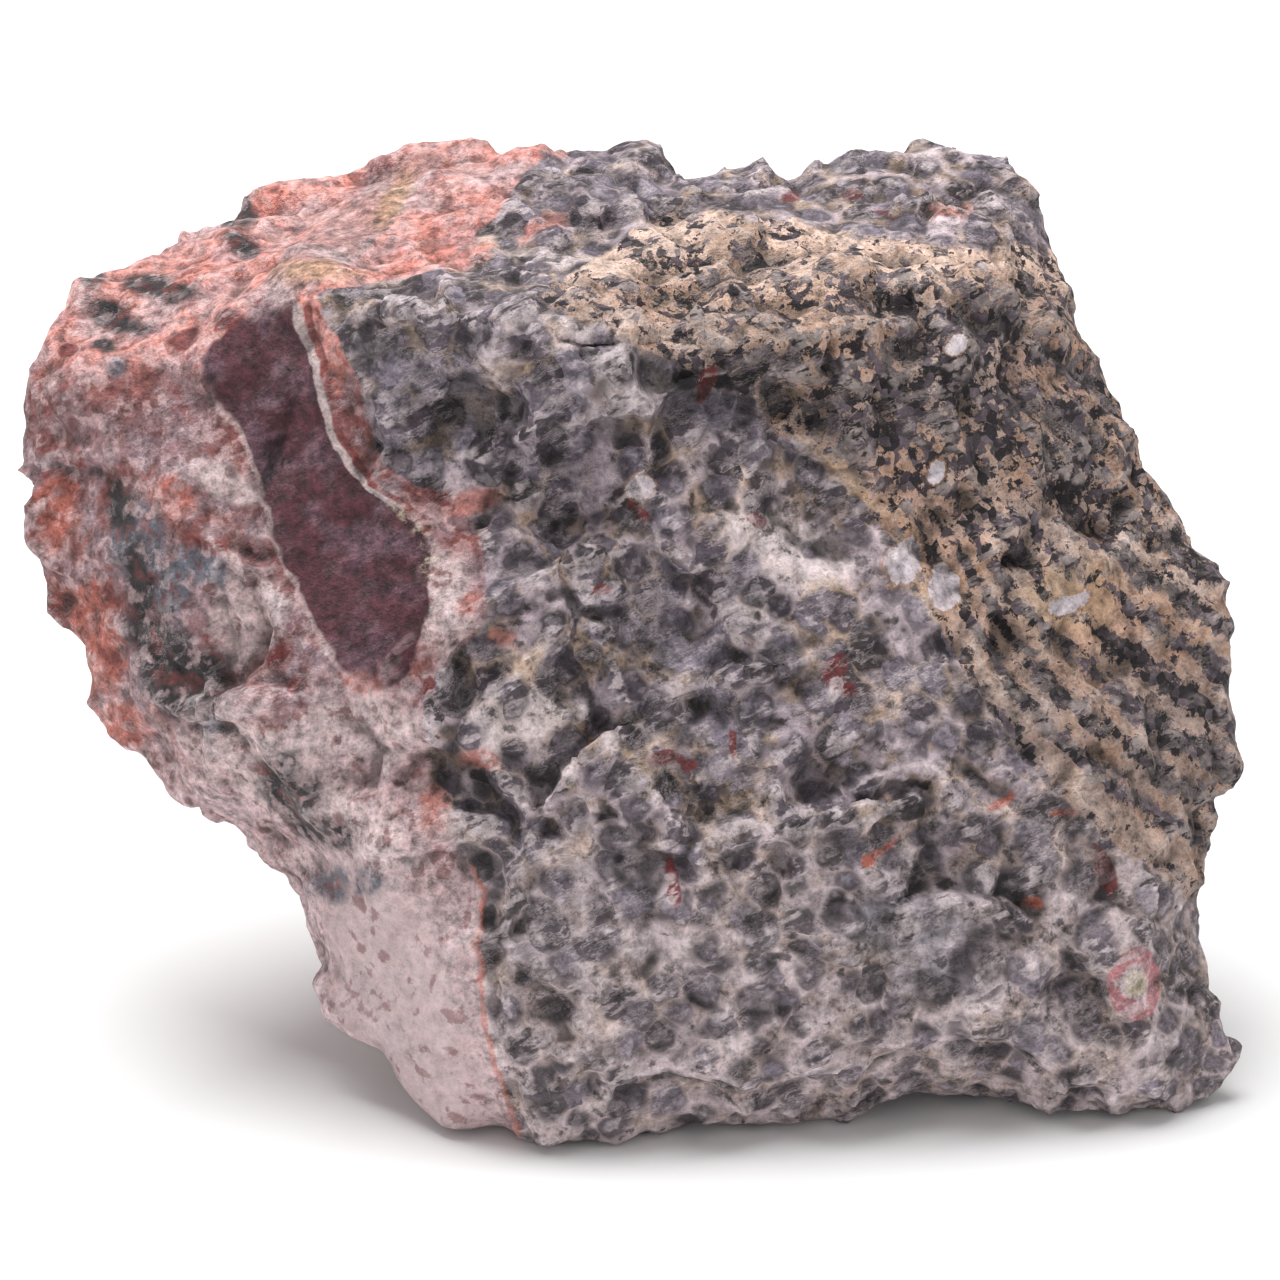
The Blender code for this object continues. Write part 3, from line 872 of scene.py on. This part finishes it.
def keep_reaches(bench, skin, place):
    """How far the orbs and the black grains spread, here and there."""
    here = Ground(bench)
    bent = here.rag * 1.4 + (here.clouds - 0.5) * 5.0
    wave = (bench.kept("bands") * (math.tau / BAND_SPACING) + bent).math("SINE")
    striped = here.up.fall(2.0, 12.0)
    plain = here.spot("CREAM_PATCHES", 0.4).larger(here.spot("OCHRE_STAINS", 0.4))
    plain = plain.larger(here.spot("BLUE_GREY_PATCHES", 0.4))
    for name in ("SALMON_PATCHES", "RING_EYE"):
        plain = plain.larger(here.spot(name, 0.3) * 1.6)
    dark_end = here.up.rise(6.0, 14.0) * here.up.fall(20.0, 26.0)
    border = (bench.kept("into_tan") + here.rag).fall(1.2, 2.6)
    orbs = 0.475 + (here.veils - 0.5) * 0.7 - here.low * 0.04 + here.rag * 0.16 - plain * 0.2
    orbs = orbs + here.spot("SHADED_PATCHES", 0.6) * 0.06 + here.up.rise(8.0, 14.0) * 0.05
    clumps = (here.patches - 0.5) * (1.0 - striped) * 1.8 + (here.clouds - 0.5) * 0.8
    grains = 0.04 + wave * (striped * 0.36 + 0.06) + clumps + dark_end * 0.12
    grains = grains - plain * 0.3 - border * 0.2 + here.spot("SHADED_PATCHES", 0.6) * 0.14
    skin = bench.keep(skin, "orb_reach", orbs)
    return bench.keep(skin, "grain_reach", grains)


def keep_spots(name, rows):
    """The work that keeps how far each point lies inside these spots."""

    def work(bench, skin, place):
        return bench.keep(skin, name, spots(bench, bench.kept_out("front", "FLOAT_VECTOR"), rows))

    return work


class Looks:
    """What the stone's material reads at a place on the skin."""

    def __init__(self, bench):
        position = bench.node("ShaderNodeTexCoord").outputs["Object"]
        place = bench.grown(position, 1.0 / MM)
        self.fine = bench.noise(place, FINE_SIZE, 4.0, 0.75)
        self.speck = (self.fine - 0.5) * 2.0
        self.rag = bench.kept("rag") + self.speck * 0.25
        self.up = bench.kept("up")
        self.past_pink = bench.kept("past_pink") + self.rag
        self.pink = self.past_pink.fall(-0.15, 0.15)
        self.past_vein = bench.kept("past_vein") + self.rag * 0.4
        self.past_slab = bench.kept("past_slab") + self.rag * 1.2
        above_end = (self.up + self.rag * 3.0).rise(-3.6, -1.2)
        self.slab = self.past_slab.rise(-0.25, 0.25) * self.past_vein.fall(-0.15, 0.15) * above_end
        self.face = bench.kept("MAUVE_FACE").rise(-0.1, 0.3)
        self.tan = (bench.kept("into_tan") + self.rag * 1.6).rise(-0.4, 0.4)
        scale = 1.0 / ORB_SIZE + self.tan.rise(0.4, 0.6) * (1.0 / GRAIN_SIZE - 1.0 / ORB_SIZE)
        sockets = {"Vector": bench.kept_out("bent_place", "FLOAT_VECTOR"), "Scale": scale}
        made = bench.node("ShaderNodeTexVoronoi", {"feature": "F1"}, sockets)
        self.away = Value(bench, made.outputs["Distance"])
        self.cell = bench.split(made.outputs["Color"])
        self.blots = bench.kept("blots") + self.speck * 0.15
        turned = bench.turned(bench.kept_out("sharp_front", "FLOAT_VECTOR"), "Y", FIBRE_TURN)
        drawn_out = bench.vector_math("MULTIPLY", turned, FIBRE_SHAPE)
        self.fibres = bench.noise(drawn_out, FINE_SIZE, 3.0, 0.65)


def pink_colour(bench, looks):
    """The pink zone's ground with specks and pits, and the slab in it."""
    streaks = 0.6 + looks.speck * 0.6 + looks.fibres * 0.8
    slab = bench.shade(bench.kept_colour("slab_ground"), streaks)
    ground = bench.kept_colour("pink_ground")
    ground = bench.mix(looks.blots.rise(0.52, 0.6) * 0.4, ground, COLOURS["pink blots"])
    ground = bench.mix(looks.blots.fall(0.38, 0.45) * 0.55, ground, COLOURS["red blots"])
    pits = (0.22 - looks.away + looks.rag * 0.35 + looks.speck * 0.2).rise(-0.03, 0.05)
    strength = 0.65 - looks.face * 0.45
    ground = bench.mix(pits * looks.cell[1].rise(0.66, 0.7) * strength, ground, COLOURS["pits"])
    ground = bench.mix(looks.slab, ground, slab)
    edge = looks.past_slab.size().fall(0.1, 0.4) * looks.up.rise(-4.0, 0.0)
    return bench.mix(edge * looks.up.fall(14.0, 18.0) * 0.6, ground, COLOURS["slab's edge"])


def orb_colour(bench, looks):
    """Grey orbs with darker rims in a paler network."""
    dark = COLOURS["orb rims"]
    matrix = bench.kept_colour("matrix_ground")
    matrix = bench.mix(looks.blots.fall(0.36, 0.43) * 0.75, matrix, COLOURS["dark blots"])
    body = bench.mix(looks.cell[1], COLOURS["darkest orbs"], COLOURS["palest orbs"])
    body = bench.mix(looks.cell[0].rise(0.4, 0.8) * 0.8, body, dark)
    body = bench.mix(looks.blots.rise(0.52, 0.62) * 0.4, body, COLOURS["pale blots"])
    ragged = looks.speck * 0.22 + (looks.blots - 0.5) * 0.5
    inside = bench.kept("orb_reach") + looks.cell[2] * 0.2 - looks.away + ragged
    body = bench.mix(inside.fall(0.04, 0.2) * 0.6, body, dark)
    body = bench.mix(looks.up.fall(-18.0, -8.0) * 0.2, body, COLOURS["orbs at the foot"])
    colour = bench.mix(inside.rise(-0.09, 0.13) * 0.95, matrix, body)
    big = bench.kept("BIG_ORBS") + looks.rag * 0.4 + looks.speck * 0.15
    core = bench.mix(big.rise(0.1, 0.5), dark, COLOURS["big orbs"])
    core = bench.mix(big.rise(0.5, 0.8) * 0.8, core, COLOURS["big orbs' cores"])
    return bench.mix(big.rise(-0.1, 0.15) * 0.7, colour, core)


def tan_colour(bench, looks):
    """Black and grey grains in the tan ground."""
    blackness = bench.kept("grain_reach") + (looks.cell[0] - 0.25) * 0.5 + (looks.blots - 0.5) * 0.8
    ink = bench.mix(looks.cell[1].rise(0.3, 1.0), COLOURS["black grains"], COLOURS["grey grains"])
    share = (blackness + looks.speck * 1.3).rise(0.02, 0.24)
    return bench.mix(share, bench.kept_colour("tan_ground"), ink)


def vein_colour(bench, looks, colour):
    """The red-brown line with a whitish line on its left, and the orange line at the foot."""
    up = looks.up
    drawn = up.rise(8.6, 9.6) * up.fall(22.0, 22.8) * bench.kept("past_slab").rise(-1.0, 0.0)
    white = looks.past_vein.size().fall(0.2, 0.4) * drawn
    red = (looks.past_vein - 0.65).size().fall(0.2, 0.36) * drawn
    trail = looks.past_vein.size().fall(0.2, 0.8) * up.rise(3.6, 5.4) * up.fall(8.8, 9.4)
    colour = bench.mix(white * 0.85, colour, COLOURS["white vein"])
    colour = bench.mix(red * 0.9, colour, COLOURS["red vein"])
    colour = bench.mix(trail * looks.fine.rise(0.45, 0.6) * 0.55, colour, COLOURS["vein's trail"])
    foot = looks.past_pink.size().fall(0.12, 0.3) * up.fall(-15.5, -14.5)
    return bench.mix(foot * 0.6, colour, COLOURS["line at the foot"])


def stone_colour(bench, looks):
    """The three zones, then vein, flakes, crystals and ring, and last dust with painted highlights
    on raised edges, then random tone and painted shade in hollows.
    """
    colour = bench.mix(looks.tan, orb_colour(bench, looks), tan_colour(bench, looks))
    colour = bench.mix(looks.pink, colour, pink_colour(bench, looks))
    colour = vein_colour(bench, looks, colour)
    ragged = looks.rag * 0.3 + looks.speck * 0.5
    flakes = (bench.kept("ORANGE_FLAKES") + ragged).rise(-0.15, 0.15)
    colour = bench.mix(flakes * 0.85, colour, COLOURS["orange flakes"])
    flakes = (bench.kept("RED_FLAKES") + ragged).rise(-0.15, 0.15)
    colour = bench.mix(flakes * 0.9, colour, COLOURS["red flakes"])
    crystal = bench.kept("CRYSTALS") + looks.rag * 0.5 + looks.speck * 0.3
    colour = bench.mix((crystal + 0.15).rise(-0.1, 0.1) * 0.6, colour, COLOURS["crystals' rims"])
    colour = bench.mix(crystal.rise(-0.06, 0.06) * 0.8, colour, COLOURS["crystals"])
    ring = bench.kept("RING_EYE") + looks.rag * 0.16 + looks.speck * 0.08
    colour = bench.mix((ring - 0.3).size().fall(0.18, 0.26) * 0.85, colour, COLOURS["ring"])
    colour = bench.mix(ring.rise(0.56, 0.68) * 0.8, colour, COLOURS["ring's eye"])
    # Dust and painted highlight: paler on edges that stand out, and along the veils' pale fibres.
    veils = bench.kept("veils").rise(0.47, 0.55)
    strands = (looks.fibres - 0.5).size().fall(0.008, 0.035) * veils
    veils = veils * looks.fibres.rise(0.52, 0.6)
    dust_and_highlight = bench.kept("edge").rise(0.02, 0.22) * looks.fibres.rise(0.45, 0.54)
    dust_and_highlight = (dust_and_highlight * 0.55).larger(veils * 0.3).larger(strands * 0.32)
    on_tan = looks.tan * (1.0 - looks.pink)
    dust_and_highlight = dust_and_highlight * (1.0 - looks.pink * 0.35 - looks.slab * looks.pink * 0.45 - on_tan * 0.3)
    dust_and_highlight_colour = bench.mix(on_tan, COLOURS["dust_and_highlight"], COLOURS["dust and highlight on tan"])
    colour = bench.mix(dust_and_highlight, colour, dust_and_highlight_colour)
    # Painted shade: darker where the skin lies deeper than the skin around it.
    hollow = bench.kept("edge").fall(-0.3, 0.0)
    patchy = (bench.kept("patches") - 0.5) * (2.2 - looks.pink * 1.4 - looks.tan * 0.4)
    speckled = looks.speck * (1.8 - looks.pink * looks.face * 1.2)
    return bench.shade(colour, (1.03 + patchy + speckled) * (1.0 - hollow * 0.6))


def jasper_material():
    """The one material of the whole stone."""
    material = bpy.data.materials.new("jasper")
    material.use_nodes = True
    bench = Bench(material.node_tree)
    shader = material.node_tree.nodes["Principled BSDF"]
    looks = Looks(bench)
    colour = stone_colour(bench, looks)
    bench.tree.links.new(colour, shader.inputs["Base Color"])
    glint = looks.cell[1].rise(0.9, 0.94)
    roughness = 0.76 + (looks.fine - 0.5) * 0.3 - glint * 0.3
    bench.tree.links.new(roughness.socket, shader.inputs["Roughness"])
    sockets = {"Height": looks.fine, "Strength": 1.0, "Distance": BUMP_HEIGHT * MM}
    bump = bench.node("ShaderNodeBump", None, sockets)
    bench.tree.links.new(bump.outputs[0], shader.inputs["Normal"])
    return material


def select_only(piece):
    """Make this piece the only one that the next steps work on."""
    bpy.ops.object.select_all(action="DESELECT")
    piece.select_set(True)
    bpy.context.view_layer.objects.active = piece


def cut_charts(stone):
    """Mark seams where one of the stone's six sides meets another, for a flat map of its skin."""
    mesh = stone.data
    corners = [Vector(corner) for corner in stone.bound_box]
    middle = sum(corners, Vector()) / 8.0
    half = (corners[6] - corners[0]) / 2.0
    sides = []
    for face in mesh.polygons:
        out = [(face.center[axis] - middle[axis]) / half[axis] for axis in range(3)]
        axis = max(range(3), key=lambda number: abs(out[number]))
        sides.append((axis, out[axis] > 0.0))
    met = {}
    for face in mesh.polygons:
        for edge in face.edge_keys:
            met.setdefault(edge, set()).add(sides[face.index])
    for edge in mesh.edges:
        edge.use_seam = len(met[edge.key]) > 1


def fine_skin():
    """A copy of the stone's solid, welded, cut finer and given its relief."""
    select_only(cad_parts[STONE_NODE])
    bpy.ops.object.duplicate()
    stone = bpy.context.active_object
    stone.name = "jasper_skin"
    select_only(stone)
    bpy.ops.object.mode_set(mode="EDIT")
    bpy.ops.mesh.select_all(action="SELECT")
    bpy.ops.mesh.remove_doubles(threshold=1e-6)
    bpy.ops.object.mode_set(mode="OBJECT")
    cut_charts(stone)
    stone.data.uv_layers.new(name="OFBake")
    bpy.ops.object.mode_set(mode="EDIT")
    bpy.ops.mesh.select_all(action="SELECT")
    bpy.ops.uv.unwrap(method="ANGLE_BASED", margin=0.01)
    bpy.ops.uv.average_islands_scale()
    bpy.ops.uv.pack_islands(margin=0.01)
    bpy.ops.mesh.subdivide(number_cuts=1, smoothness=0.6)
    bpy.ops.mesh.subdivide(number_cuts=1, smoothness=0.6)
    bpy.ops.mesh.vertices_smooth(factor=0.5, repeat=3)
    bpy.ops.object.mode_set(mode="OBJECT")
    work_on(stone, "layout", keep_layout)
    work_on(stone, "mauve_face", keep_spots("MAUVE_FACE", MAUVE_FACE))
    work_on(stone, "relief", relief)
    work_on(stone, "grain", grain)
    work_on(stone, "forms", forms)
    work_on(stone, "floor level", keep_above_floor)
    work_on(stone, "edges", keep_edges)
    work_on(stone, "layout", keep_layout)
    for name, rows in SPOT_GROUPS.items():
        work_on(stone, name, keep_spots(name, rows))
    for work in (keep_pink, keep_slab, keep_matrix, keep_tan, keep_reaches):
        work_on(stone, work.__name__, work)
    bpy.ops.object.shade_smooth()
    return stone


def floor():
    """A plain pale floor, which is part of the studio and not of the stone."""
    bpy.ops.mesh.primitive_circle_add(vertices=96, radius=FLOOR_RADIUS, fill_type="NGON")
    ground = bpy.context.active_object
    ground.name = "floor"
    paper = bpy.data.materials.new("white_paper")
    paper.use_nodes = True
    shader = paper.node_tree.nodes["Principled BSDF"]
    shader.inputs["Base Color"].default_value = (FLOOR_GREY, FLOOR_GREY, FLOOR_GREY, 1.0)
    shader.inputs["Roughness"].default_value = 0.9
    ground.data.materials.append(paper)


def soft_light(name, place, size, power):
    """A large square lamp that faces the stone."""
    lamp = bpy.data.lights.new(name, "AREA")
    lamp.size = size
    lamp.energy = power
    holder = bpy.data.objects.new(name, lamp)
    bpy.context.scene.collection.objects.link(holder)
    holder.location = place
    holder.rotation_euler = (LAMP_AIM - Vector(place)).to_track_quat("-Z", "Y").to_euler()


def studio():
    """The lamps and an even white surround."""
    for lamp in LAMPS:
        soft_light(*lamp)
    world = bpy.data.worlds.new("studio")
    world.use_nodes = True
    surround = world.node_tree.nodes["Background"].inputs
    surround["Color"].default_value = (1.0, 1.0, 1.0, 1.0)
    surround["Strength"].default_value = SURROUND_LIGHT
    bpy.context.scene.world = world
    bpy.context.scene.view_settings.view_transform = "Standard"


def camera():
    """The eye in front of the stone."""
    lens = bpy.data.cameras.new("camera")
    lens.sensor_width = SENSOR_WIDTH
    lens.lens = SENSOR_WIDTH * EYE_DISTANCE / VIEW_WIDTH
    lens.clip_start = 0.01
    holder = bpy.data.objects.new("camera", lens)
    bpy.context.scene.collection.objects.link(holder)
    back = Vector((0.0, -math.cos(EYE_PITCH), math.sin(EYE_PITCH))) * EYE_DISTANCE
    holder.location = (EYE_AIM + back) * MM
    holder.rotation_euler = Euler((math.pi / 2.0 - EYE_PITCH, 0.0, 0.0))
    bpy.context.scene.camera = holder


camera()
skin = fine_skin()
skin.data.materials.clear()
skin.data.materials.append(jasper_material())
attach(skin, "root")
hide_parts(STONE_NODE)
floor()
studio()
